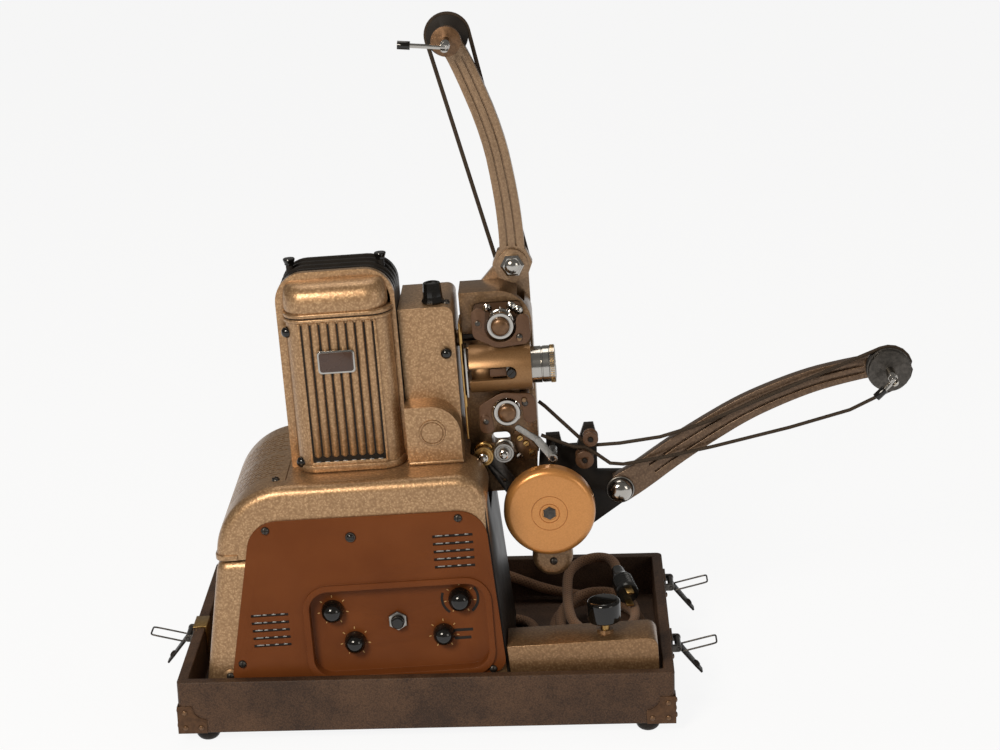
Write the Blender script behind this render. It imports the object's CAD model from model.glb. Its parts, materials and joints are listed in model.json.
import json
import math

import bpy
from mathutils import Matrix, Vector

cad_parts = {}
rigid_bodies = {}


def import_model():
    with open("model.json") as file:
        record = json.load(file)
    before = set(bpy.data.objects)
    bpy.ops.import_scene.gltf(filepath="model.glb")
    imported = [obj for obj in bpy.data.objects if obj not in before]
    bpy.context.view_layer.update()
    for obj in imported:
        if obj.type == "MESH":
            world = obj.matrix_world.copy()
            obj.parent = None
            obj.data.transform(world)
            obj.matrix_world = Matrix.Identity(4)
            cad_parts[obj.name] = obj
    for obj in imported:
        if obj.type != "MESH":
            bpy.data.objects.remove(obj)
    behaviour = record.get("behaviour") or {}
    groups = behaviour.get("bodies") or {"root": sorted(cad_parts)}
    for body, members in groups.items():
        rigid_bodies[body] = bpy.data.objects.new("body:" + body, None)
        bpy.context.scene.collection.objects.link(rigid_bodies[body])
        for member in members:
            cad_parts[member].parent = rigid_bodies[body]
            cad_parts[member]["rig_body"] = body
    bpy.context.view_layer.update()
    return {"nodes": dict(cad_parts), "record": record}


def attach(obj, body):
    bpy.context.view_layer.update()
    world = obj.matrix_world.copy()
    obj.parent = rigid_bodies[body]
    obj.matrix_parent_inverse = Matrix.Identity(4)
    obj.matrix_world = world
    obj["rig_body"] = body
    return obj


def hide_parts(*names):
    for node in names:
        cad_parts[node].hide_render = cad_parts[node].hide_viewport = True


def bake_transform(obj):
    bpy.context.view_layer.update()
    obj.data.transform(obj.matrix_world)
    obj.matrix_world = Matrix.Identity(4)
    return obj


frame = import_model()
slot_of = {part["node"]: part["material_slot"] for part in frame["record"]["subparts"]}


def body_of(node):
    return frame["nodes"][node]["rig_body"]


# ---- Camera ----
# It stands two metres in front of the machine and a little above it, as in the photograph.
# The angles were fitted to the edges of the tray and the slopes of the machine, for a tray 406 mm long.
camera_place = Vector((0.1258, -1.9998, 0.9008))
focal_length = 90.35
yaw, pitch, roll = math.radians(-1.72), math.radians(17.51), math.radians(-1.97)
ahead = Vector((math.sin(yaw) * math.cos(pitch), math.cos(yaw) * math.cos(pitch), -math.sin(pitch)))
level = Vector((math.cos(yaw), -math.sin(yaw), 0))
upright = level.cross(ahead)
across = math.cos(roll) * level + math.sin(roll) * upright
upward = -math.sin(roll) * level + math.cos(roll) * upright
bpy.ops.object.camera_add()
camera = bpy.context.object
camera.data.sensor_width = 36
camera.data.lens = focal_length
camera.data.clip_end = 20
camera.matrix_world = Matrix(((across.x, upward.x, -ahead.x, camera_place.x),
                              (across.y, upward.y, -ahead.y, camera_place.y),
                              (across.z, upward.z, -ahead.z, camera_place.z), (0, 0, 0, 1)))
bpy.context.scene.camera = camera
bpy.context.scene.view_settings.view_transform = "Standard"


# ---- Light and floor ----
# Three soft boxes and a weak world light the machine; the floor is a plain pale sheet.
# The camera sees the world as plain white. The floor looks nearly white to the camera, to metal and to glass.
def new_material(name):
    material = bpy.data.materials.new(name)
    material.use_nodes = True
    tree = material.node_tree
    return material, tree, tree.nodes["Principled BSDF"]


def set_inputs(node, values):
    for key, value in values.items():
        node.inputs[key].default_value = value


def add_node(tree, kind, inputs=None, **settings):
    node = tree.nodes.new(kind)
    for key, value in settings.items():
        setattr(node, key, value)
    set_inputs(node, inputs or {})
    return node


def wire(tree, source, target, into=0, out=0):
    tree.links.new(source.outputs[out], target.inputs[into])


def ramped(tree, source, shader, stops, out=0):
    ramp = add_node(tree, "ShaderNodeValToRGB")
    for place, _ in stops[1:-1]:
        ramp.color_ramp.elements.new(place)
    for element, (place, colour) in zip(ramp.color_ramp.elements, stops):
        element.position = place
        element.color = (*colour, 1)
    wire(tree, source, ramp, out=out)
    wire(tree, ramp, shader, into="Base Color")


def bumped(tree, source, shader, strength, distance, out=0, invert=False):
    bump = add_node(tree, "ShaderNodeBump", {"Strength": strength, "Distance": distance}, invert=invert)
    wire(tree, source, bump, into="Height", out=out)
    wire(tree, bump, shader, into="Normal")


def seen_ray(tree):
    path = add_node(tree, "ShaderNodeLightPath")
    first = add_node(tree, "ShaderNodeMath", operation="MAXIMUM")
    both = add_node(tree, "ShaderNodeMath", operation="MAXIMUM")
    wire(tree, path, first, out="Is Camera Ray")
    wire(tree, path, first, into=1, out="Is Glossy Ray")
    wire(tree, first, both)
    wire(tree, path, both, into=1, out="Is Transmission Ray")
    return both.outputs[0]


world = bpy.data.worlds.new("studio")
bpy.context.scene.world = world
world.use_nodes = True
tree = world.node_tree
glow = tree.nodes["Background"]
set_inputs(glow, {"Color": (1, 0.97, 0.92, 1), "Strength": 0.2})
white = add_node(tree, "ShaderNodeBackground", {"Color": (1, 1, 1, 1), "Strength": 1})
choose = add_node(tree, "ShaderNodeMixShader")
tree.links.new(add_node(tree, "ShaderNodeLightPath").outputs["Is Camera Ray"], choose.inputs[0])
wire(tree, glow, choose, into=1)
wire(tree, white, choose, into=2)
tree.links.new(choose.outputs[0], tree.nodes["World Output"].inputs["Surface"])

soft_boxes = [("key", (-0.8, -1.9, 1.5), 0.7, 42, (1, 0.92, 0.80)),
              ("fill", (1.7, -1.5, 0.8), 0.8, 6, (1, 0.95, 0.88)),
              ("top", (-0.2, 0.5, 2.0), 0.9, 7, (1, 0.95, 0.87))]
for name, place, size, power, tint in soft_boxes:
    bpy.ops.object.light_add(type="AREA", location=place)
    lamp = bpy.context.object
    lamp.name = name
    lamp.data.size = size
    lamp.data.energy = power
    lamp.data.color = tint
    lamp.rotation_euler = (Vector((0, 0, 0.25)) - Vector(place)).to_track_quat("-Z", "Y").to_euler()

bpy.ops.mesh.primitive_plane_add(size=14, location=(0, 0, -0.0002))
floor = bpy.context.object
floor.name = "floor"
floor_paper, tree, shader = new_material("floor_paper")
set_inputs(shader, {"Base Color": (0.86, 0.86, 0.86, 1), "Roughness": 0.9})
paper_white = add_node(tree, "ShaderNodeEmission", {"Color": (1, 1, 1, 1), "Strength": 1})
choose = add_node(tree, "ShaderNodeMixShader")
share = add_node(tree, "ShaderNodeMath", {1: 0.9}, operation="MULTIPLY")
tree.links.new(seen_ray(tree), share.inputs[0])
wire(tree, share, choose)
wire(tree, shader, choose, into=1)
wire(tree, paper_white, choose, into=2)
tree.links.new(choose.outputs[0], tree.nodes["Material Output"].inputs["Surface"])
floor.data.materials.append(floor_paper)


# ---- Mains cord ----
# Round cord with a woven brown cover, 9 mm thick, from the back of the tilt box to a moulded plug.
# It lies loose in the right end of the tray, and its spare length is folded in a hank behind the casing.
cord_radius = 0.0045


def smooth_once(points):
    out = [points[0]]
    for a, b in zip(points, points[1:]):
        out += [a * 0.75 + b * 0.25, a * 0.25 + b * 0.75]
    return out + [points[-1]]


def millimetres(points):
    return [Vector(p) / 1000 for p in points]


hank_left, hank_right, hank_y, hank_fold, hank_step, hank_z = -150, 10, 89, 27, 9.6, 22.8
hank_run = hank_right - hank_left
hank = [(hank_right + 9, hank_y - hank_fold, hank_z)]
for k in range(61):
    lap, i = divmod(k, 24)
    z = hank_z + lap * hank_step
    if i < 4:
        hank.append((hank_right - hank_run * i / 4, hank_y - hank_fold, z))
    elif i < 12:
        turn = math.pi * (i - 4) / 8
        hank.append((hank_left - hank_fold * math.sin(turn), hank_y - hank_fold * math.cos(turn), z))
    elif i < 16:
        hank.append((hank_left + hank_run * (i - 12) / 4, hank_y + hank_fold, z + hank_step * (i - 12) / 4))
    else:
        turn = math.pi * (i - 16) / 8
        hank.append((hank_right + hank_fold * math.sin(turn), hank_y + hank_fold * math.cos(turn), z + hank_step))
hank_top = hank_z + 3 * hank_step
for i in (1, 2, 3, 4):
    hank.append((hank_left + hank_run * i / 4, hank_y + hank_fold, hank_top - hank_step * (1 - i / 4)))
hank.append((hank_right + 9, hank_y + hank_fold, hank_top))
lead_out = [(115, -76.5, 58), (115, -62, 57), (108, -42, 48), (97, -20, 35), (91, 4, 26), (89, 30, 23),
            (84, 52, 23), (68, 62.5, 22.9), (34, 62, 22.8), hank[0]]
heap = [hank[-1], (31, 116, 51.6), (48, 116, 48.5), (70, 115, 40), (100, 113, 28), (138, 108, 23), (168, 88, 23),
        (182, 54, 23), (183, 12, 23), (170, -26, 23), (142, -43, 23), (116, -30, 23.5), (104, 2, 25),
        (105, 42, 29), (120, 72, 32.5), (148, 82, 33), (172, 62, 33), (181, 26, 33), (177, -8, 33),
        (163, -32, 33), (143, -40, 33), (123, -28, 34), (112, 0, 35), (110, 20, 37), (113, 44, 40),
        (130, 70, 42.5), (154, 72, 43), (173, 50, 43), (177, 16, 43), (171, -10, 43), (156, -27, 43),
        (137, -26, 44), (123, -8, 45), (118, 16, 47), (117, 42, 50), (117, 60, 53.5), (118, 78, 57.5),
        (123, 90, 60), (132, 97, 63), (144, 97.5, 65.5), (154, 91, 66.7), (159, 81, 66.4), (161.5, 69, 64.4)]
hank_smooth = millimetres(hank)
route = smooth_once(millimetres(lead_out))[:-1] + hank_smooth + smooth_once(millimetres(heap))[1:]
route = smooth_once(smooth_once(route))


def swept_tube(name, path, widths, sides):
    across_now = None
    corners, faces, wraps = [], [], []
    travelled = 0
    for i, p in enumerate(path):
        way = (path[min(i + 1, len(path) - 1)] - path[max(i - 1, 0)]).normalized()
        if across_now is None:
            across_now = way.orthogonal()
        across_now = (across_now - way * across_now.dot(way)).normalized()
        other = way.cross(across_now)
        travelled += (p - path[i - 1]).length if i else 0
        wraps.append(travelled)
        for j in range(sides):
            turn = 2 * math.pi * j / sides
            corners.append(p + widths[i] * (math.cos(turn) * across_now + math.sin(turn) * other))
    for i in range(len(path) - 1):
        for j in range(sides):
            a, b = i * sides + j, i * sides + (j + 1) % sides
            faces.append((a, b, b + sides, a + sides))
    faces.append(tuple(reversed(range(sides))))
    faces.append(tuple(range((len(path) - 1) * sides, len(path) * sides)))
    mesh = bpy.data.meshes.new(name)
    mesh.from_pydata(corners, [], faces)
    layer = mesh.uv_layers.new(name="UVMap")
    for face in mesh.polygons:
        for n, loop in enumerate(face.loop_indices):
            vertex = mesh.loops[loop].vertex_index
            j = vertex % sides
            if len(face.vertices) == 4 and n in (1, 2) and j == 0:
                j = sides
            layer.data[loop].uv = (j / sides, wraps[vertex // sides])
        face.use_smooth = len(face.vertices) == 4
    piece = bpy.data.objects.new(name, mesh)
    bpy.context.scene.collection.objects.link(piece)
    return piece


cord = swept_tube("mains_cord", route, [cord_radius] * len(route), 16)
cord_cover, tree, shader = new_material("cord_cover")
set_inputs(shader, {"Roughness": 0.85, "Sheen Weight": 0.08})
place = add_node(tree, "ShaderNodeTexCoord")
split = add_node(tree, "ShaderNodeSeparateXYZ")
wire(tree, place, split, out="UV")
rows = []
for sign in (1, -1):
    around = add_node(tree, "ShaderNodeMath", {1: 8 * 2 * math.pi}, operation="MULTIPLY")
    along = add_node(tree, "ShaderNodeMath", {1: sign * 2 * math.pi / 0.0034}, operation="MULTIPLY")
    summed = add_node(tree, "ShaderNodeMath", operation="ADD")
    wave = add_node(tree, "ShaderNodeMath", operation="SINE")
    wire(tree, split, around, out="X")
    wire(tree, split, along, out="Y")
    wire(tree, around, summed)
    wire(tree, along, summed, into=1)
    wire(tree, summed, wave)
    rows.append(wave)
weave = add_node(tree, "ShaderNodeMath", operation="MAXIMUM")
wire(tree, rows[0], weave)
wire(tree, rows[1], weave, into=1)
fuzz = add_node(tree, "ShaderNodeTexNoise", {"Scale": 420, "Detail": 4})
wire(tree, place, fuzz, into="Vector", out="Object")
worn = add_node(tree, "ShaderNodeTexNoise", {"Scale": 38, "Detail": 3})
wire(tree, place, worn, into="Vector", out="Object")
height = add_node(tree, "ShaderNodeMath", {1: 0.34, 2: 0.25}, operation="MULTIPLY_ADD")
wire(tree, weave, height)
shade = add_node(tree, "ShaderNodeMath", {1: 0.9}, operation="MULTIPLY_ADD")
wire(tree, worn, shade, out="Fac")
wire(tree, height, shade, into=2)
ramped(tree, shade, shader, ((0, (0.045, 0.021, 0.011)), (1, (0.230, 0.122, 0.064))))
rise = add_node(tree, "ShaderNodeMath", {1: 0.5}, operation="MULTIPLY_ADD")
wire(tree, fuzz, rise, out="Fac")
wire(tree, weave, rise, into=2)
bumped(tree, rise, shader, 0.6, 0.0004)
cord.data.materials.append(cord_cover)
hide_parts("power_cord", "cord_hank", "power_cord_end")
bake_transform(cord)


def object_noise(tree, scale, detail=3, rough=0.5):
    place = add_node(tree, "ShaderNodeTexCoord")
    noise = add_node(tree, "ShaderNodeTexNoise", {"Scale": scale, "Detail": detail, "Roughness": rough})
    wire(tree, place, noise, into="Vector", out="Object")
    return noise


def patchy(tree, shader, scale, low, high):
    sheen = add_node(tree, "ShaderNodeMapRange", {"To Min": low, "To Max": high})
    wire(tree, object_noise(tree, scale, 4), sheen, out="Fac")
    wire(tree, sheen, shader, into="Roughness")


def plain_finish(name, dark, light, rough, metal=0.0, grain=300, relief=0.00005, coat=0.0, spread=0.12, gloss=0.5):
    material, tree, shader = new_material(name)
    noise = object_noise(tree, grain)
    ramped(tree, noise, shader, ((0.3, dark), (0.7, light)), out="Fac")
    patchy(tree, shader, 30, max(0.03, rough - spread), rough + spread)
    bumped(tree, noise, shader, 0.5, relief, out="Fac")
    set_inputs(shader, {"Metallic": metal, "Specular IOR Level": gloss, "Coat Weight": coat, "Coat Roughness": 0.12})
    return material


moulded_rubber = plain_finish("moulded_rubber", (0.006, 0.006, 0.006), (0.012, 0.011, 0.010), 0.22, grain=200)
brass = plain_finish("brass", (0.40, 0.24, 0.08), (0.56, 0.36, 0.14), 0.28, metal=1.0, grain=300)


# Helpers for modelling with operators. New pieces are drawn in millimetres and scaled as they are put in place.
def chosen(piece):
    bpy.ops.object.select_all(action="DESELECT")
    bpy.context.view_layer.objects.active = piece
    piece.select_set(True)
    return piece


def edit_all():
    bpy.ops.object.mode_set(mode="EDIT")
    bpy.ops.mesh.select_all(action="SELECT")


def edit_done():
    bpy.ops.object.mode_set(mode="OBJECT")


def face_outward():
    bpy.ops.mesh.select_all(action="SELECT")
    bpy.ops.mesh.normals_make_consistent(inside=False)
    edit_done()


def flat_face(corners, fill="NGON"):
    bpy.ops.object.select_all(action="DESELECT")
    bpy.ops.mesh.primitive_circle_add(vertices=len(corners), fill_type=fill)
    piece = bpy.context.object
    for vertex, corner in zip(piece.data.vertices, corners):
        vertex.co = corner
    return piece


def drawn_up(stages, centre=(0, 0)):
    edit_all()
    for (w0, d0, z0), (w1, d1, z1) in zip(stages, stages[1:]):
        bpy.ops.mesh.extrude_region_move(TRANSFORM_OT_translate={"value": (0, 0, z1 - z0)})
        bpy.ops.transform.resize(value=(w1 / w0, d1 / d0, 1), center_override=(*centre, z1))
    face_outward()


def walled(piece, thickness, offset):
    wall = piece.modifiers.new("wall", "SOLIDIFY")
    wall.thickness = thickness
    wall.offset = offset
    bpy.ops.object.modifier_apply(modifier="wall")


def turned(profile, finish, sides=40):
    bpy.ops.object.select_all(action="DESELECT")
    bpy.ops.mesh.primitive_circle_add(vertices=sides, radius=profile[0][0], fill_type="NGON",
                                      location=(0, 0, profile[0][1]))
    piece = bpy.context.object
    drawn_up([(r, r, h) for r, h in profile])
    bpy.ops.object.transform_apply(location=True, rotation=True, scale=True)
    piece.data.materials.append(finish)
    return piece


def block(low, high, finish, edge=0.4, steps=2):
    bpy.ops.object.select_all(action="DESELECT")
    bpy.ops.mesh.primitive_cube_add(size=1, location=[(a + b) / 2 for a, b in zip(low, high)],
                                    scale=[b - a for a, b in zip(low, high)])
    piece = bpy.context.object
    bpy.ops.object.transform_apply(location=True, rotation=True, scale=True)
    edit_all()
    bpy.ops.mesh.bevel(offset=edge, segments=steps, affect="EDGES")
    edit_done()
    piece.data.materials.append(finish)
    return piece


to_metres = Matrix.Scale(0.001, 4)


def spin(degrees, axis):
    return Matrix.Rotation(math.radians(degrees), 4, axis)


flat_on = {"front": spin(90, "X"), "back": spin(-90, "X"), "right": spin(90, "Y"), "left": spin(-90, "Y")}


def on_front(x, y, z):
    return Matrix.Translation((x, y, z)) @ flat_on["front"]


def put(piece, place):
    piece.data.transform(place)
    return piece


def copied(piece, place):
    twin = bpy.data.objects.new(piece.name, piece.data.copy())
    bpy.context.scene.collection.objects.link(twin)
    return put(twin, place)


def joined(name, pieces):
    chosen(pieces[0])
    for piece in pieces[1:]:
        piece.select_set(True)
    if len(pieces) > 1:
        bpy.ops.object.join()
    pieces[0].name = name
    pieces[0].data.name = name
    return pieces[0]


def fixed(piece, body, slot, *nodes, smooth=40):
    chosen(piece)
    bpy.ops.object.shade_smooth_by_angle(angle=math.radians(smooth))
    if nodes:
        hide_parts(*nodes)
    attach(piece, body)
    return piece


# The plug is one rubber moulding with a ribbed grip and two flat brass pins.
along = (route[-1] - route[-2]).normalized()
plug_place = Matrix.Translation(route[-1]) @ along.to_track_quat("Z", "Y").to_matrix().to_4x4() @ to_metres
grip = [(4.9, 0.2), (5.6, 3), (6.5, 12), (9.0, 19)]
for k in range(5):
    grip += [(9.7, 20.4 + 3.2 * k), (9.7, 21.9 + 3.2 * k), (9.1, 22.3 + 3.2 * k), (9.1, 23.2 + 3.2 * k)]
grip += [(9.8, 36.6), (9.8, 41), (9.1, 42), (0.3, 42)]
plug_parts = [turned(grip, moulded_rubber, 32)]
plug_parts += [block((-3.2, side * 6 - 0.8, 41), (3.2, side * 6 + 0.8, 51), brass, 0.35) for side in (-1, 1)]
plug = put(joined("mains_plug", plug_parts), plug_place)
fixed(plug, "tray", "plug_rubber", "cord_plug")

# The sleeve is a rubber cone that grips the cord where it leaves the tilt box.
sleeve_path = [p for p in route if p.y < -0.046]
sleeve_path = [sleeve_path[0] + (sleeve_path[0] - sleeve_path[1]).normalized() * 0.0008] + sleeve_path
sleeve_widths = [0.0078 - 0.0024 * i / (len(sleeve_path) - 1) + (0.0004 if i % 2 else 0)
                 for i in range(len(sleeve_path))]
sleeve = swept_tube("cord_sleeve", sleeve_path, sleeve_widths, 20)
sleeve.data.materials.append(moulded_rubber)
fixed(sleeve, "chassis", "plug_rubber")

# A flat tape goes round the hank and keeps its runs together.
tape_corners = []
for y, z, start in ((64, 24.8, 180), (114, 24.8, 270), (114, 51.4, 0), (64, 51.4, 90)):
    for k in range(7):
        turn = math.radians(start + 15 * k)
        tape_corners.append((-76, y + 6.6 * math.cos(turn), z + 6.6 * math.sin(turn)))
tape = flat_face(tape_corners, "NOTHING")
tape.name = "cord_tape"
edit_all()
bpy.ops.mesh.extrude_region_move(TRANSFORM_OT_translate={"value": (12, 0, 0)})
edit_done()
walled(tape, 0.5, 1)
tape.data.materials.append(plain_finish("tie_tape", (0.010, 0.009, 0.008), (0.022, 0.019, 0.016), 0.7, grain=1500,
                                        relief=0.0002))
put(tape, to_metres)
fixed(tape, "tray", "cord_cloth")


# ---- Tray ----
# Wooden tray covered in brown leatherette, with pressed corner guards, feet and draw latches.
# The guards are riveted on, and the lid that closed the case hooked into the wire bails.
steel = plain_finish("steel", (0.26, 0.25, 0.235), (0.38, 0.36, 0.33), 0.30, metal=1.0, grain=500)
dark_steel = plain_finish("dark_steel", (0.055, 0.050, 0.045), (0.10, 0.09, 0.08), 0.34, metal=0.9, grain=400)
black_enamel = plain_finish("black_enamel", (0.010, 0.008, 0.007), (0.020, 0.016, 0.013), 0.45, grain=60, gloss=0.15)
bronze = plain_finish("bronze", (0.105, 0.052, 0.022), (0.175, 0.092, 0.042), 0.34, metal=0.6, grain=350, coat=0.2)

leatherette, tree, shader = new_material("leatherette")
place = add_node(tree, "ShaderNodeTexCoord")
pebbles = add_node(tree, "ShaderNodeTexVoronoi", {"Scale": 850, "Smoothness": 0.4}, feature="SMOOTH_F1")
wire(tree, place, pebbles, into="Vector", out="Object")
scuffs = object_noise(tree, 26, 5, 0.6)
mixed = add_node(tree, "ShaderNodeMath", {1: 0.5}, operation="MULTIPLY_ADD")
wire(tree, pebbles, mixed, out="Distance")
wire(tree, scuffs, mixed, into=2, out="Fac")
ramped(tree, mixed, shader, ((0.42, (0.105, 0.056, 0.031)), (0.95, (0.032, 0.016, 0.009))))
set_inputs(shader, {"Roughness": 0.55, "Specular IOR Level": 0.3})
bumped(tree, pebbles, shader, 0.55, 0.0004, out="Distance", invert=True)


def merged(node):
    piece = bpy.data.objects.new(node + "_made", frame["nodes"][node].data.copy())
    bpy.context.scene.collection.objects.link(piece)
    chosen(piece)
    edit_all()
    bpy.ops.mesh.remove_doubles(threshold=0.00001)
    bpy.ops.mesh.dissolve_limited(angle_limit=math.radians(0.6))
    edit_done()
    piece.data.materials.clear()
    return piece


def eased(piece, edge, steps=2):
    chosen(piece)
    bevel = piece.modifiers.new("edges", "BEVEL")
    bevel.width = edge
    bevel.segments = steps
    bevel.angle_limit = math.radians(36)
    bpy.ops.object.modifier_apply(modifier="edges")
    return piece


def dressed(node, finishes, edge=0.0006, pick=None, steps=2):
    piece = eased(merged(node), edge, steps)
    for finish in finishes:
        piece.data.materials.append(finish)
    if pick:
        for face in piece.data.polygons:
            face.material_index = pick(face.center * 1000)
    return fixed(piece, body_of(node), slot_of[node], node)


dressed("tray_shell", [leatherette], 0.0018, steps=3)
guard_brown = plain_finish("guard_brown", (0.062, 0.030, 0.014), (0.105, 0.052, 0.024), 0.40, metal=0.3, grain=320,
                           relief=0.0002, gloss=0.3)
dressed("tray_hardware", [guard_brown, black_enamel, dark_steel, steel], 0.0003,
        lambda p: 1 if p.z < 9.9 else 2 if abs(p.x) > 204.2 else 3 if abs(p.x) < 176 else 0)


def arc(cx, cz, r, start, end, steps):
    return [(cx + r * math.cos(math.radians(start + (end - start) * i / steps)),
             cz + r * math.sin(math.radians(start + (end - start) * i / steps))) for i in range(steps + 1)]


def slab(outline, front, back, finish, flat=False):
    piece = flat_face([(x, z, front) if flat else (x, front, z) for x, z in outline])
    edit_all()
    bpy.ops.mesh.extrude_region_move(TRANSFORM_OT_translate={"value": (0, 0, back - front) if flat
                                                             else (0, back - front, 0)})
    face_outward()
    piece.data.materials.append(finish)
    return piece


def rounded(piece, width, steps, wanted=None, sharp=25):
    chosen(piece)
    bpy.ops.object.mode_set(mode="EDIT")
    bpy.ops.mesh.select_mode(type="EDGE")
    bpy.ops.mesh.select_all(action="DESELECT")
    bpy.ops.mesh.edges_select_sharp(sharpness=math.radians(sharp))
    edit_done()
    points = piece.data.vertices
    for edge in piece.data.edges:
        if edge.select and wanted and not all(wanted(points[v].co) for v in edge.vertices):
            edge.select = False
    bpy.ops.object.mode_set(mode="EDIT")
    bpy.ops.mesh.bevel(offset=width, segments=steps, affect="EDGES", clamp_overlap=True)
    bpy.ops.mesh.select_mode(type="VERT")
    edit_done()
    return piece


# A latch is a tapered blade on a hinge pin, with a thin wire bail hooked through it.
for node, y, side in (("front_latch", -52.0, 1), ("back_latch", 81.84, 1), ("left_latch", -7.92, -1)):
    blade = slab([(1.5, -8), (24, -6.2), (33, -4.2), (33, 4.2), (24, 6.2), (1.5, 8)], -0.9, 0.9, black_enamel,
                 flat=True)
    rounded(blade, 0.5, 2, sharp=40)
    bump = turned([(3.4, 0.8), (3.2, 1.7), (2.2, 2.5), (0.3, 2.8)], black_enamel, 24)
    put(bump, Matrix.Translation((25, 0, 0)))
    drop = spin(52, "Y")
    barrel = [turned([(1.2, -13.4), (1.2, -9.4), (2.7, -9.2), (2.7, 9.2), (1.2, 9.4), (1.2, 13.4)], dark_steel, 20)]
    put(barrel[0], spin(90, "X"))
    reach = [(0, -7.5), (0, -8.4), (6, -8.5), (24, -8.5), (29, -8.2), (30, -6.5), (30, 0), (30, 6.5), (29, 8.2),
             (24, 8.5), (6, 8.5), (0, 8.4), (0, 7.5)]
    bail_x, bail_z, bail_run, bail_rise = 3.39, -4.33, 0.9703, 0.2419
    bail_line = smooth_once([Vector((bail_x + a * bail_run, b, bail_z + a * bail_rise)) for a, b in reach])
    bail = swept_tube("bail", bail_line, [0.75] * len(bail_line), 10)
    bail.data.materials.append(dark_steel)
    latch = joined(node + "_made", [put(blade, drop), put(bump, drop), bail] + barrel)
    place = to_metres @ Matrix.Translation((209 * side, y, 46))
    if side < 0:
        place = place @ spin(180, "Z")
    fixed(put(latch, place), body_of(node), "steel", node)

# A folded brass keeper hangs over the left wall.
keeper = [block((-204.4, -19, 55.05), (-193.0, 5, 56.3), brass, 0.4),
          block((-194.0, -19, 31), (-192.8, 5, 56.2), brass, 0.4)]
fixed(put(joined("left_keeper", keeper), to_metres), "tray", "brass")

rivet = turned([(2.3, 0), (2.3, 0.3), (2.0, 0.8), (1.3, 1.2), (0.3, 1.35)], bronze, 20)
rivets = []
for sx in (-1, 1):
    for sy in (-1, 1):
        for out, up in ((18.5, 5.2), (5.4, 18.5), (5.4, 5.2)):
            rivets.append(copied(rivet, Matrix.Translation((sx * (203 - out), sy * 132.8, 10 + up))
                                 @ flat_on["front" if sy < 0 else "back"]))
            rivets.append(copied(rivet, Matrix.Translation((sx * 203.8, sy * (132 - out), 10 + up))
                                 @ flat_on["right" if sx > 0 else "left"]))
for y, side in ((-52, 1), (81.8, 1), (-7.9, -1)):
    for dy in (-9.5, 9.5):
        for z in (23, 38):
            rivets.append(copied(rivet, Matrix.Translation((side * 204.5, y + dy, z))
                                 @ flat_on["right" if side > 0 else "left"]))
bpy.data.objects.remove(rivet)
fixed(put(joined("tray_rivets", rivets), to_metres), "tray", "steel")


# ---- Casing ----
# Pressed steel casing under hammered bronze enamel: a lower wall, and an arched top that lifts off at the seam.
# A rolled strip covers the seam on the left, and rows of short slots let the warm air out over the arch.
def hammered_finish(name, dark, light, pale):
    material, tree, shader = new_material(name)
    place = add_node(tree, "ShaderNodeTexCoord")
    wander = object_noise(tree, 160, 2)
    shift = add_node(tree, "ShaderNodeMixRGB", {0: 0.004}, blend_type="ADD")
    wire(tree, place, shift, into=1, out="Object")
    wire(tree, wander, shift, into=2, out="Color")
    cells = add_node(tree, "ShaderNodeTexVoronoi", {"Scale": 560, "Smoothness": 1.0}, feature="SMOOTH_F1")
    wire(tree, shift, cells, into="Vector")
    flakes = object_noise(tree, 1100, 4, 0.7)
    mixed = add_node(tree, "ShaderNodeMath", {1: 0.55}, operation="MULTIPLY_ADD")
    wire(tree, flakes, mixed, out="Fac")
    wire(tree, cells, mixed, into=2, out="Distance")
    ramped(tree, mixed, shader, ((0.38, pale), (0.62, light), (0.92, dark)))
    patchy(tree, shader, 24, 0.33, 0.47)
    bumped(tree, cells, shader, 0.3, 0.0004, out="Distance", invert=True)
    set_inputs(shader, {"Metallic": 0.7, "Coat Weight": 0.25, "Coat Roughness": 0.2})
    return material


hammertone = hammered_finish("hammertone", (0.295, 0.172, 0.084), (0.385, 0.234, 0.120), (0.520, 0.335, 0.180))
machine_place = (Matrix.Translation((-0.163, 0, 0.027)) @ spin(-2.5, "Y")
                 @ Matrix.Translation((0.163, 0, -0.027)) @ to_metres)


def opened(piece, faces_to_drop, wall):
    chosen(piece)
    bpy.ops.object.mode_set(mode="EDIT")
    bpy.ops.mesh.select_mode(type="FACE")
    bpy.ops.mesh.select_all(action="DESELECT")
    edit_done()
    for face in piece.data.polygons:
        face.select = faces_to_drop(face.center, face.normal)
    bpy.ops.object.mode_set(mode="EDIT")
    bpy.ops.mesh.delete(type="FACE")
    bpy.ops.mesh.select_mode(type="VERT")
    edit_done()
    walled(piece, wall, -1)
    return piece


def combined(piece, other, operation):
    chosen(piece)
    both = piece.modifiers.new("both", "BOOLEAN")
    both.operation = operation
    both.solver = "EXACT"
    both.object = other
    bpy.ops.object.modifier_apply(modifier="both")
    bpy.data.objects.remove(other)


case_front, case_back, seam, foot = -116, 54, 154, 24
left_foot, right_foot = -183.7, 71.1
lower = slab([(left_foot, foot), (right_foot, foot), (62.5, seam - 0.35), (-159.7, seam - 0.35)],
             case_front, case_back, hammertone)
rounded(lower, 9, 6, lambda p: p.x < 0)
lower = opened(lower, lambda c, n: abs(n.z) > 0.97 or n.x > 0.9, 2.4)
combined(lower, block((-92, case_front - 3, 46), (58, case_front + 6, 125), hammertone, 0.2), "DIFFERENCE")
fixed(put(lower, machine_place), "chassis", "hammertone", "base_casing").name = "casing_lower"

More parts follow.
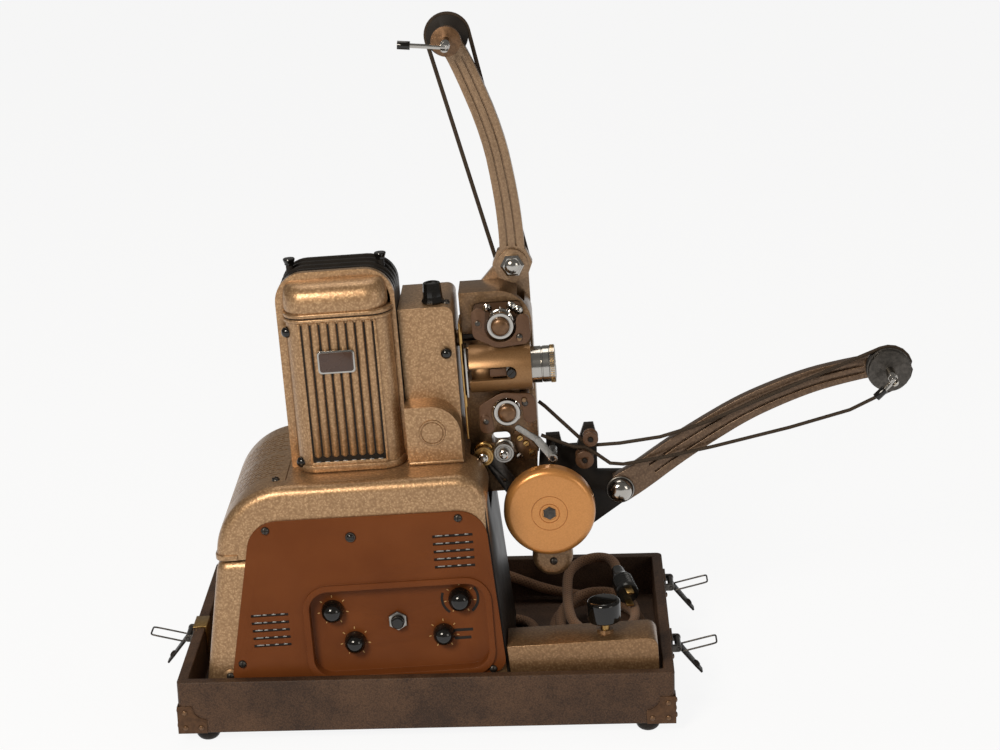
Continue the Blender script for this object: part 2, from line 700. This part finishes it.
shoulder = arc(37.5, 188, 25, 0, 90, 10)
top_line = [(62.5, seam - 14), (62.5, seam)] + shoulder + arc(-101.7, 155, 58, 90, 180, 26) + [(-159.7, seam - 14)]
upper = slab(top_line, case_front, case_back, hammertone)
rounded(upper, 9, 6, lambda p: p.z > seam - 13.9 or p.x < -100, 60)
edit_all()
bpy.ops.mesh.bisect(plane_co=(0, 0, seam), plane_no=(0, 0, 1), clear_inner=True)
edit_done()
upper = opened(upper, lambda c, n: (n.z < -0.5 and c.z < seam + 1) or (n.x > 0.97 and c.z < 187), 2.4)
slots = [block((48.5, -54, 150), (110, 19, 220), hammertone, 0.2),
         block((-99.8, -95, 211.9), (-98.9, -45, 216), hammertone, 0.1)]
for row in range(19):
    y = -80 + row * 5.4 + (6 if row > 9 else 0)
    for k in range(6):
        slot = block((-4.1, y, 52), (4.1, y + 1.7, 62), hammertone, 0.15, 1)
        slots.append(put(slot, Matrix.Translation((-101.7, 0, 155))
                         @ spin(-8 - 10.4 * k - (5 if row % 2 else 0), "Y")))
combined(upper, joined("cutter", slots), "DIFFERENCE")
fixed(put(upper, machine_place), "chassis", "hammertone", "arch_cover").name = "casing_top"

strip_plan = ([(-142, -114.8), (-142, -117.2)] + arc(-151, -107.4, 9.8, 270, 180, 8)
              + arc(-152.8, 45.4, 8, 180, 90, 6) + [(-150.2, 50), (-155, 46), (-156.5, 40), (-157.8, -100)]
              + arc(-151, -107.4, 7.2, 190, 262, 6))
strip = slab(strip_plan, 154.1, 158.6, hammertone, flat=True)
rounded(strip, 0.5, 2, sharp=40)
notch = turned([(5.6, 0), (5.6, 0.5), (4.6, 1.0), (0.4, 1.1)], hammertone, 28)
put(notch, on_front(-158.9, -115.9, 53.3))
dome = turned([(3.3, 0), (3.3, 0.6), (2.9, 1.4), (2.0, 2.0), (0.3, 2.25)], dark_steel, 24)
groove = block((-2.6, -0.35, 1.6), (2.6, 0.35, 2.6), black_enamel, 0.1)
dome = joined("dome_screw", [dome, groove, copied(groove, spin(90, "Z"))])
screws = [copied(dome, on_front(-158.9, -116.9, 53.3)),
          copied(dome, Matrix.Translation((-107.5, -94, 212.6)) @ spin(-5.7, "Y"))]
fixed(put(joined("casing_strip", [strip, notch] + screws), machine_place), "chassis", "hammertone")
box_bronze = hammered_finish("box_bronze", (0.205, 0.112, 0.050), (0.265, 0.150, 0.070), (0.350, 0.210, 0.105))
dressed("tilt_box", [box_bronze], 0.0030, steps=4)
dressed("bottom_plate", [black_enamel], 0.0005)
dressed("end_plate", [black_enamel], 0.0006)


# ---- Control panel ----
# Brown enamelled panel pressed with a pan for the knobs, and louvres cut through it to cool the amplifier.
# Black phenolic knobs on brass shafts, a fuse cap in a hexagon nut, and gold dial marks round the knobs.
phenolic = plain_finish("phenolic", (0.004, 0.0035, 0.003), (0.008, 0.007, 0.006), 0.10, grain=40, coat=0.15,
                        spread=0.04, gloss=0.4)
chrome = plain_finish("chrome", (0.40, 0.38, 0.35), (0.48, 0.46, 0.43), 0.14, metal=1.0, grain=40, spread=0.04)
brown_enamel = plain_finish("brown_enamel", (0.118, 0.033, 0.008), (0.146, 0.043, 0.011), 0.34, grain=22, gloss=0.12)
gold_ink = plain_finish("gold_ink", (0.48, 0.29, 0.10), (0.60, 0.38, 0.15), 0.4, metal=0.4, grain=600)
dressed("control_panel", [brown_enamel], 0.0011, steps=3)

pan_floor, knob_seat, fuse_x, fuse_z = -109.5, -110, -18.1, 90.7
knobs = {"motor_knob": (-70.4, 103, 9.3), "lamp_knob": (-54.4, 74.6, 9.0), "tone_knob": (18.5, 76.7, 9.0),
         "volume_knob": (33.9, 106.4, 9.7)}
marks = []
for node, (x, z, r) in knobs.items():
    cap = [(r - 0.4, 0), (r, 0.4), (r, 1.6), (r - 0.15, 3.6), (r - 0.5, 5.8), (r - 1.2, 8.0), (r - 2.4, 10.0),
           (r - 4.0, 11.6), (r - 6.0, 12.6), (0.3, 13.0)]
    knob = turned(cap, phenolic, 56)
    shaft = turned([(3, -14), (3, 0.5), (0.3, 0.6)], brass, 24)
    knob = joined(node + "_made", [knob, shaft])
    put(knob, machine_place @ on_front(x, knob_seat, z))
    fixed(knob, body_of(node), "phenolic", node)
    for n in range(7):
        mark = block((-0.35, -0.15, r + 1.6), (0.35, 0.3, r + 3.6), gold_ink, 0.1, 1)
        marks.append(put(mark, Matrix.Translation((x, pan_floor - 0.15, z)) @ spin(-150 + 50 * n, "Y")))
volume_x, volume_z, _ = knobs["volume_knob"]
for start, end in ((158, 232), (-52, 36)):
    ring = arc(volume_x, volume_z, 15.8, start, end, 12) + arc(volume_x, volume_z, 13.7, end, start, 12)
    marks.append(slab(ring, pan_floor - 0.3, pan_floor + 0.2, black_enamel))
for z, long in ((78.5, 15.5), (71.6, 13.6)):
    marks.append(block((26.9, pan_floor - 0.2, z - 1.3), (26.9 + long, pan_floor + 0.3, z + 1.3), black_enamel, 0.15))
nut = turned([(8.0, 0), (8.4, 0.4), (8.4, 2.4), (7.9, 2.9), (6.1, 2.9)], steel, 6)
marks.append(put(nut, on_front(fuse_x, pan_floor, fuse_z)))
bezel = turned([(4.2, 0), (4.2, 1.2), (3.7, 1.8), (3.2, 1.8)], dark_steel, 32)
lens = turned([(3.1, 1.2), (3.1, 1.9), (2.6, 2.6), (1.5, 3.1), (0.3, 3.3)], phenolic, 32)
for part in (bezel, lens):
    marks.append(put(part, on_front(-49.2, -118, 168.7)))
for left, top, long in ((16.5, 164.1, 32.5), (-136.5, 105.1, 30.5)):
    for row in range(5):
        z = top - 6.6 * row
        marks.append(block((left - 0.4, -116.9, z - 1.5), (left + long + 0.4, -116.05, z + 1.5), black_enamel, 0.1, 1))
        for k in range(4):
            x = left + 2.2 + k * (long - 5.5) / 3.4
            marks.append(block((x, -117.8, z + 0.1), (x + (6 if k == 0 else 3.2), -116.8, z + 1.1), steel, 0.15, 1))
for x, z in ((-117.2, 178.7), (38.4, 179.1), (-147.8, 64), (56.6, 46.1)):
    marks.append(copied(dome, on_front(x, -118.05, z)))
fixed(put(joined("panel_fittings", marks), machine_place), "chassis", "brass")

cap = [(5.2, 0), (5.7, 0.4), (5.7, 3.5), (5.2, 4.2), (5.2, 7), (4.2, 8), (0.3, 8.1)]
fuse_parts = [turned(cap, phenolic, 14), turned([(4.2, -12), (4.2, 0.5), (0.3, 0.6)], phenolic, 24)]
fuse = put(joined("fuse_cap_made", fuse_parts),
           machine_place @ on_front(fuse_x, knob_seat, fuse_z))
fixed(fuse, body_of("fuse_cap"), "phenolic", "fuse_cap", smooth=25)


# ---- Lamp house ----
# Cast lamp house with black cooling fins behind a bronze band, and a ribbed front cover under a smooth cap.
# Ball headed thumb screws hold the cover; the badge on it is bare.
def fin_or_band(p):
    return 0 if p.y < -59.6 else 1


dressed("lamphouse_body", [hammertone, black_enamel], 0.0009, fin_or_band, steps=3)

lamp_front, cover_x, cap_x = -66, -46.8, -47.9


def cover_plan(proud):
    left, right = -91, -2.6
    return ([(left - proud, lamp_front + 0.2), (left - proud, -68)]
            + arc(left + 18, -68.5, 18 + proud, 180, 270, 9) + arc(right - 18, -68.5, 18 + proud, 270, 360, 9)
            + [(right + proud, lamp_front + 0.2)])


wall = slab(cover_plan(-1.5), 213.2, 347.5, hammertone, flat=True)
foot_band = rounded(slab(cover_plan(-0.2), 213.2, 219.8, hammertone, flat=True), 1.4, 3, lambda p: p.z > 219)
rims = [rounded(slab(cover_plan(0), low, high, hammertone, flat=True), 1.2, 4, lambda p: p.y < -66)
        for low, high in ((339.4, 342.8), (343.6, 347.2))]
seam_line = slab(cover_plan(-1.1), 342.6, 343.8, black_enamel, flat=True)
cover_parts = [wall, foot_band, seam_line] + rims

# The cap stands a little left of the middle of the cover and is narrower than it.
cap = flat_face([(cap_x + (x - cover_x) * 0.922, lamp_front + (y - lamp_front) * 0.95, 347)
                 for x, y in cover_plan(-0.6)])
steps_up = [(0.955, 0.95, 347), (0.985, 0.985, 348.4), (1, 1, 351), (1, 1, 355), (0.995, 0.97, 359.5),
            (0.98, 0.90, 363.4), (0.955, 0.77, 366.6), (0.92, 0.58, 368.8), (0.87, 0.32, 370.2), (0.82, 0.1, 370.7)]
drawn_up(steps_up, (cap_x, lamp_front))
cap.data.materials.append(hammertone)
cover_parts.append(cap)

cover_parts.append(block((-77.2, -86.1, 222), (-16.4, -80, 338), black_enamel, 0.2))
for side in (-1, 1):
    edge_x = cover_x + side * 30.6
    cover_parts.append(block((edge_x - 1.1, -86.7, 221.4), (edge_x + 1.1, -80, 339.6), hammertone, 0.5))
cover_parts.append(block((-77.2, -87.2, 219.4), (-16.4, -80, 222.6), hammertone, 0.6))
for i in range(8):
    x = cover_x + (i - 3.5) * 7.2
    rib = turned([(1.6, 226.5), (3.05, 228), (3.05, 338), (2.6, 340)], hammertone, 16)
    cover_parts.append(put(rib, Matrix.Translation((x, -85.4, 0)) @ Matrix.Diagonal((1, 0.8, 1, 1))))
    cover_parts.append(block((x - 1.9, -87, 222.4), (x + 1.9, -84, 223.6), chrome, 0.3))

# The badge is a bare brown plate with rounded corners in a chrome rim.
badge_brown = plain_finish("badge_brown", (0.040, 0.018, 0.010), (0.055, 0.026, 0.015), 0.25, grain=60, coat=0.2)
badge_x, badge_z = -49.4, 308
half_width, half_height, corner_radius = 15, 9.5, 3
for margin, front, finish in ((0, -91.4, chrome), (1.4, -91.9, badge_brown)):
    wide, tall, corner = half_width - margin, half_height - margin, corner_radius - margin / 2
    plate = []
    for quarter, (sx, sz) in enumerate(((1, 1), (-1, 1), (-1, -1), (1, -1))):
        plate += arc(badge_x + sx * (wide - corner), badge_z + sz * (tall - corner), corner, 90 * quarter,
                     90 * quarter + 90, 7)
    cover_parts.append(rounded(slab(plate, front, -88, finish), 0.4, 2, lambda p: p.y < -91))
fixed(put(joined("lamp_cover", cover_parts), machine_place), "chassis", "hammertone", "lamphouse_cover")

# Three ball screws hold the covers, and two thumb nuts stand on top of the fins.
ball = [(1.9, -8), (1.9, 0), (3.4, 0.4), (4.4, 1.6), (4.7, 3.4), (4.5, 5.2), (3.7, 6.8), (2.4, 7.8), (0.3, 8.2)]
nut_top = [(3.2, 0), (3.9, 0.5), (3.9, 2.0), (4.4, 2.8), (5.0, 4.8), (4.6, 5.6), (1.2, 5.7)]
holders = []
for x, y, z in ((-88.2, -71.5, 331), (-86.7, -73, 220.9), (36.8, -57, 299.9)):
    holders.append(put(turned(ball, phenolic, 32), on_front(x, y, z)))
for x in (-85.5, -11.4):
    holders.append(put(turned(nut_top, phenolic, 18), Matrix.Translation((x, -37, 376.3))))
fixed(put(joined("cover_screws", holders), machine_place), "chassis", "phenolic", "cover_fasteners", smooth=30)


# ---- Mechanism cover, shutter and framing knob ----
# Pressed cover over the pull-down gear, with a boss in front and a round plug in it; one ball screw holds it.
# The framing knob on top is black phenolic, drawn in towards its tip.
cover_body = slab([(0.2, 213.2), (44.3, 213.2)] + arc(37.3, 331, 7, 0, 90, 7) + [(0.2, 338)], -57, 18, hammertone)
boss = slab([(0.2, 213.2), (44.3, 213.2)] + arc(20.3, 238, 24, 0, 90, 14) + [(0.2, 262)], -82, -40, hammertone)
combined(cover_body, boss, "UNION")
rounded(cover_body, 3.4, 5, lambda p: abs(p.y + 82) < 0.1 or (abs(p.y + 57) < 0.1 and (p.z > 262.5 or p.x < 0.4)))
rounded(cover_body, 3.6, 4, lambda p: abs(p.y + 57) < 0.1 and p.z < 262.2 and p.x > 3)
base_lip = rounded(slab([(0.1, -82.8), (45.0, -82.8), (45.0, 18), (0.1, 18)], 213.1, 216.2, hammertone, flat=True),
                   1.2, 3, lambda p: p.z > 216)
ring = turned([(10.9, 0), (10.9, 0.6), (10.4, 1.2), (9.5, 1.2), (9.1, 0.3), (8.7, 0.3), (8.3, 1.1), (0.4, 1.2)],
              hammertone, 48)
put(ring, on_front(21.4, -81.9, 240.4))
top_screw = copied(dome, Matrix.Translation((39, -45, 337.9)))
body = joined("mechanism_cover_made", [cover_body, base_lip, ring, top_screw])
fixed(put(body, machine_place), "chassis", "hammertone", "mechanism_cover")

facets = turned([(9.2, 0.6), (9.4, 1.6), (8.3, 3.6), (7.9, 6), (7.3, 15.5), (6.9, 16.8), (5.6, 17.2), (4.8, 16.2),
                 (0.3, 16.0)], phenolic, 12)
stem = turned([(3, -9), (3, 1), (0.3, 1.1)], steel, 20)
knob = put(joined("framing_knob_made", [facets, stem]), machine_place @ Matrix.Translation((28.5, -42, 338)))
fixed(knob, body_of("framing_knob"), "phenolic", "framing_knob", smooth=20)
dressed("shutter", [dark_steel], 0.0002)


# ---- Head casting and film gate ----
# Cast head under a darker hammered enamel; the film runs down the gate between sprocket and lens.
# Shoes of dark bronze enamel swing on pins and hold the film on the two toothed sprockets.
shoe_bronze = plain_finish("shoe_bronze", (0.085, 0.040, 0.019), (0.110, 0.054, 0.026), 0.38, metal=0.35, grain=900,
                           relief=0.0001)
dark_bronze = hammered_finish("dark_bronze", (0.170, 0.098, 0.049), (0.215, 0.128, 0.064), (0.270, 0.166, 0.086))
dressed("head_casting", [dark_bronze], 0.0012, steps=3)
dressed("film_gate", [brass], 0.0004)
dressed("pressure_shoe", [chrome], 0.0003)
dressed("lens_holder", [plain_finish("holder_bronze", (0.215, 0.112, 0.044), (0.285, 0.155, 0.066), 0.36, metal=0.55,
                                     grain=900, relief=0.0001)], 0.0009, steps=3)

barrel_front = [(15.15, 84.2), (15.15, 112.4), (14.7, 112.8), (14.7, 113.6), (15.15, 114.0), (15.15, 118.8),
                (14.8, 119.0), (15.4, 119.4), (15.4, 123.6), (14.9, 124), (12.6, 124), (12.3, 123.2), (12.3, 118),
                (11.9, 117.6)]
barrel = turned(barrel_front, chrome, 64)
glass = plain_finish("glass", (0.055, 0.050, 0.060), (0.075, 0.068, 0.080), 0.04, grain=10, coat=1.0, spread=0.01)
lens_face = turned([(12.2, 117.2), (11.0, 118.4), (8.4, 119.6), (4.4, 120.5), (0.3, 120.7)], glass, 48)
lens_y, lens_z, stud_x = -40, 279, 88.1
along_x = Matrix.Translation((0, lens_y, lens_z)) @ spin(90, "Y")
lens_parts = [put(barrel, along_x), put(lens_face, along_x)]
for n in range(60):
    tooth = block((15.2, -0.3, 119.8), (15.55, 0.3, 123.2), brass, 0.08, 1)
    lens_parts.append(put(tooth, along_x @ spin(6 * n, "Z")))
rear = turned([(15.1, 84.4), (12.3, 84.2), (12.3, 72.4), (11.8, 72)], shoe_bronze, 48)
lens_parts.append(put(rear, along_x))
stud = turned([(3.9, 12), (3.9, 20.6), (3.4, 21.4), (0.3, 21.5)], phenolic, 28)
lens_parts.append(block((70.5, -55.7, 275.6), (84, -54.6, 282.4), shoe_bronze, 0.3))
lens_parts.append(put(stud, on_front(stud_x, lens_y, lens_z)))
lens_parts.append(put(block((-2.6, -0.4, 21.2), (2.6, 0.4, 21.7), black_enamel, 0.1),
                      on_front(stud_x, lens_y, lens_z) @ Matrix.Rotation(0.7, 4, "Z")))
lens = put(joined("lens_barrel_made", lens_parts), machine_place)
fixed(lens, body_of("lens_barrel"), "chrome", "lens_barrel")

for node, z in (("upper_sprocket", 316), ("lower_sprocket", 242)):
    drum = turned([(3, -32), (3, 0), (10.2, 0.2), (10.2, 2.0), (9.9, 2.3), (9.0, 2.6), (9.0, 11.2), (9.9, 11.5),
                   (10.2, 11.8), (10.2, 17), (11.2, 17.3), (11.2, 18.6), (10.6, 19.2), (8.6, 19.2), (8.4, 18.6),
                   (7.9, 18.6)], chrome, 48)
    dial = turned([(7.8, 17), (7.8, 20.4), (7.2, 21.6), (5.8, 22.5), (3.4, 23.1), (0.3, 23.3)], bronze, 40)
    teeth = []
    for n in range(8):
        tooth = turned([(0.7, 9.6), (0.55, 10.6), (0.3, 11.6)], chrome, 8)
        for at in (1.2, 14.6):
            teeth.append(copied(tooth, spin(45 * n, "Z")
                                @ Matrix.Translation((0, 0, at)) @ spin(90, "Y")))
        bpy.data.objects.remove(tooth)
    piece = put(joined(node + "_made", [drum, dial] + teeth),
                machine_place @ on_front(81.6, -30.2, z))
    fixed(piece, body_of(node), "chrome", node)

screw_top = turned([(2.6, 0), (2.6, 0.7), (2.2, 1.3), (1.2, 1.6), (0.3, 1.7)], dark_steel, 20)
for node, spots in (("upper_shoe", ((63.5, 320.3), (96.5, 306.8))), ("lower_shoe", ((63.8, 236.2), (96.7, 249.9)))):
    dressed(node, [shoe_bronze], 0.0005)
    tops = [copied(screw_top, on_front(x, -50.4, z)) for x, z in spots]
    fixed(put(joined(node + "_screws", tops), machine_place), body_of(node), "steel")

bpy.data.objects.remove(screw_top)

fittings = []
recess = slab(arc(63.5, 301, 4, 180, 270, 4) + arc(94.5, 301, 4, 270, 360, 4) + arc(94.5, 323.5, 4, 0, 90, 4)
              + arc(63.5, 323.5, 4, 90, 180, 4), -18.2, -16.8, plain_finish("recess_brown", (0.060, 0.030, 0.015),
                                                                           (0.085, 0.044, 0.022), 0.35, grain=80))
fittings.append(recess)
for x, z, r in ((70.7, 324.0, 2.4), (90.4, 324.0, 2.8), (96.0, 320.5, 2.6)):
    head = turned([(r + 1, 0), (r + 1, 0.8), (r, 1.2), (r, 2.8), (r - 0.7, 3.4), (0.3, 3.5)], chrome, 20)
    fittings.append(put(head, on_front(x, -19, z)))
small_roller = turned([(3.6, 0), (3.6, 1.4), (2.6, 1.8), (2.6, 6.0), (3.6, 6.4), (3.6, 7.8), (3.0, 8.4), (0.3, 8.5)],
                      chrome, 28)
fittings.append(put(small_roller, on_front(98.7, -19.5, 313.5)))
bolt_plate = rounded(slab([(84.5, 216), (92, 218), (104, 200), (103, 192), (92, 190), (85, 200)], -22.4, -19.6, bronze),
                     0.5, 2)
fittings.append(bolt_plate)
for x, z, finish in ((89.5, 210.8, brass), (94.3, 205.6, brass), (98.5, 197.1, brass), (88.2, 195.2, chrome)):
    head = turned([(2.9, 0), (2.9, 1.4), (2.3, 2.2), (0.3, 2.3)], finish, 22)
    line = block((-2.2, -0.3, 2.0), (2.2, 0.3, 2.5), black_enamel, 0.08, 1)
    for part in (head, line):
        fittings.append(put(part, on_front(x, -22.4, z) @ Matrix.Rotation(0.6, 4, "Z")))
fixed(put(joined("head_fittings", fittings), machine_place), "chassis", "steel")

rollers = (("brass_roller", 59.3, 204.8, brass), ("steel_roller", 76.3, 206.7, steel))
for node, x, z, finish in rollers:
    wheel = turned([(2.56, 0), (7.9, 0), (8.2, 0.3), (8.2, 2.6), (7.9, 3.0), (6.6, 3.4), (6.6, 13.0), (7.9, 13.4),
                    (8.2, 13.8), (8.2, 16.1), (7.9, 16.4), (6.6, 16.4), (6.2, 15.9), (4.4, 15.9), (4.0, 16.4),
                    (2.56, 16.4)], finish, 48)
    wheel = put(wheel, machine_place @ on_front(x, -31.6, z))
    wheel.name = node + "_made"
    fixed(wheel, body_of(node), slot_of[node], node)
ends = []
for _, x, z, _ in rollers:
    cap_nut = turned([(3.8, 0), (3.8, 1.2), (3.0, 1.6), (2.8, 3.0), (2.0, 4.0), (0.3, 4.3)], chrome, 24)
    ends.append(put(cap_nut, on_front(x, -51.0, z)))
fixed(put(joined("roller_nuts", ends), machine_place), "chassis", "chrome", smooth=30)
dressed("film_lever", [dark_steel], 0.0004)
dressed("tension_lever", [steel], 0.0004)


# ---- Flywheel and exciter lamp housing ----
# Gold lacquered flywheel turned from brass, with two rings and a steel hexagon in its hub.
# Beneath it a small bronze pod holds the exciter lamp.
flywheel_gold = plain_finish("flywheel_gold", (0.50, 0.215, 0.058), (0.58, 0.260, 0.076), 0.33, metal=0.5, grain=900,
                             coat=0.25)
face = [(4, -52), (4, 0), (37.0, 0), (37.8, 0.8), (37.8, 10), (37.3, 11.9), (36.0, 13.5), (34.1, 14.6), (32.0, 15.0),
        (15.1, 15.0), (14.9, 14.4), (14.6, 14.4), (14.4, 15.0), (8.6, 15.0), (8.3, 14.2), (7.9, 14.2), (7.6, 15.0),
        (6.2, 15.0), (5.9, 14.6)]
wheel = turned(face, flywheel_gold, 96)
socket = turned([(5.8, 14.62), (5.6, 15.2), (5.0, 15.4), (0.3, 15.4)], dark_steel, 6)
hub = turned([(12, -1), (12, -19), (0.3, -19)], dark_steel, 40)
wheel = put(joined("flywheel_made", [wheel, socket, hub]),
            machine_place @ on_front(110.6, -51, 158.3))
fixed(wheel, body_of("flywheel"), "flywheel_gold", "flywheel", smooth=35)
pod_screw = copied(dome, machine_place @ on_front(110.5, -45.9, 108.1))
pod_screw.name = "pod_screw"
bpy.data.objects.remove(dome)
dressed("exciter_housing", [dark_bronze], 0.0006)
fixed(pod_screw, body_of("exciter_housing"), "steel")


# ---- Reel arms ----
# Two bent arms with long grooves carry the reel spindles; each spindle has a flip latch and a belt pulley.
# The feed arm is bronze, and the takeup arm is darker.
belt_rubber = plain_finish("belt_rubber", (0.026, 0.018, 0.012), (0.052, 0.036, 0.024), 0.6, grain=800, gloss=0.15)
arm_bronze = hammered_finish("arm_bronze", (0.235, 0.148, 0.085), (0.275, 0.178, 0.104), (0.330, 0.218, 0.130))
takeup_bronze = hammered_finish("takeup_bronze", (0.105, 0.062, 0.036), (0.135, 0.082, 0.048), (0.180, 0.114, 0.068))
dressed("arm_bracket", [arm_bronze], 0.0008)
dressed("feed_arm", [arm_bronze], 0.0010, steps=3)
dressed("takeup_arm", [takeup_bronze], 0.0010, steps=3)
dressed("takeup_bracket", [black_enamel], 0.0010)
for node in ("upper_idler", "lower_idler"):
    dressed(node, [shoe_bronze], 0.0005)
dressed("feed_spindle", [black_enamel, bronze, chrome], 0.0005,
        lambda p: 2 if p.y < -28.6 else 1 if p.y < -22.5 else 0)
dressed("takeup_spindle", [black_enamel, dark_steel, chrome], 0.0005,
        lambda p: 2 if p.y < -29.6 else 1 if p.y < -23.5 else 0)
dressed("feed_latch", [chrome, phenolic], 0.0004, lambda p: 1 if p.x < 6.5 else 0)
dressed("takeup_latch", [chrome, phenolic], 0.0004, lambda p: 1 if p.x < 380 else 0)

nut_place = on_front(94, -12, 357.9)
hex_nut = [turned([(12.7, 0), (12.7, 1.3), (12.2, 1.8), (9.6, 1.8)], steel, 48),
           turned([(9.7, 1.8), (9.9, 2.4), (9.9, 6.6), (9.2, 7.6), (7.6, 8.6), (0.3, 8.8)], chrome, 6),
           turned([(6.6, 8.4), (6.2, 9.6), (4.8, 10.9), (2.6, 11.7), (0.3, 12.0)], chrome, 40)]
for part in hex_nut:
    put(part, nut_place @ spin(30, "Z"))
dome_nut = [turned([(11.6, 0), (11.6, 1.0), (11.0, 1.5), (9.6, 1.5)], steel, 48),
            turned([(9.8, 1.5), (10.0, 3.0), (9.4, 5.6), (7.8, 7.8), (5.0, 9.3), (0.3, 9.8)], chrome, 48)]
for part in dome_nut:
    put(part, on_front(170.1, -14.6, 156.4))
fixed(put(joined("feed_arm_nut", hex_nut), machine_place), "chassis", "chrome", smooth=30)
fixed(put(joined("takeup_arm_nut", dome_nut), machine_place), "chassis", "chrome", smooth=30)


# ---- Parts that keep the shape of their solid ----
# The belts, tilt knob and foot, motor, amplifier and lamp come from their solids, in the finish of their slot.
# Only their sharp edges are eased.
valve_glass = plain_finish("valve_glass", (0.35, 0.37, 0.38), (0.42, 0.44, 0.45), 0.06, grain=10, coat=1.0, spread=0.02)
finish_of = {"hammertone": hammertone, "brown_paint": brown_enamel, "black_paint": black_enamel,
             "flywheel_gold": flywheel_gold, "phenolic": phenolic, "steel": steel, "chrome": chrome, "brass": brass,
             "glass": valve_glass, "leatherette": leatherette, "belt": belt_rubber, "plug_rubber": moulded_rubber,
             "cord_cloth": cord_cover}
for node in sorted(frame["nodes"]):
    if frame["nodes"][node].hide_render:
        continue
    dressed(node, [finish_of[slot_of[node]]], 0.0005)
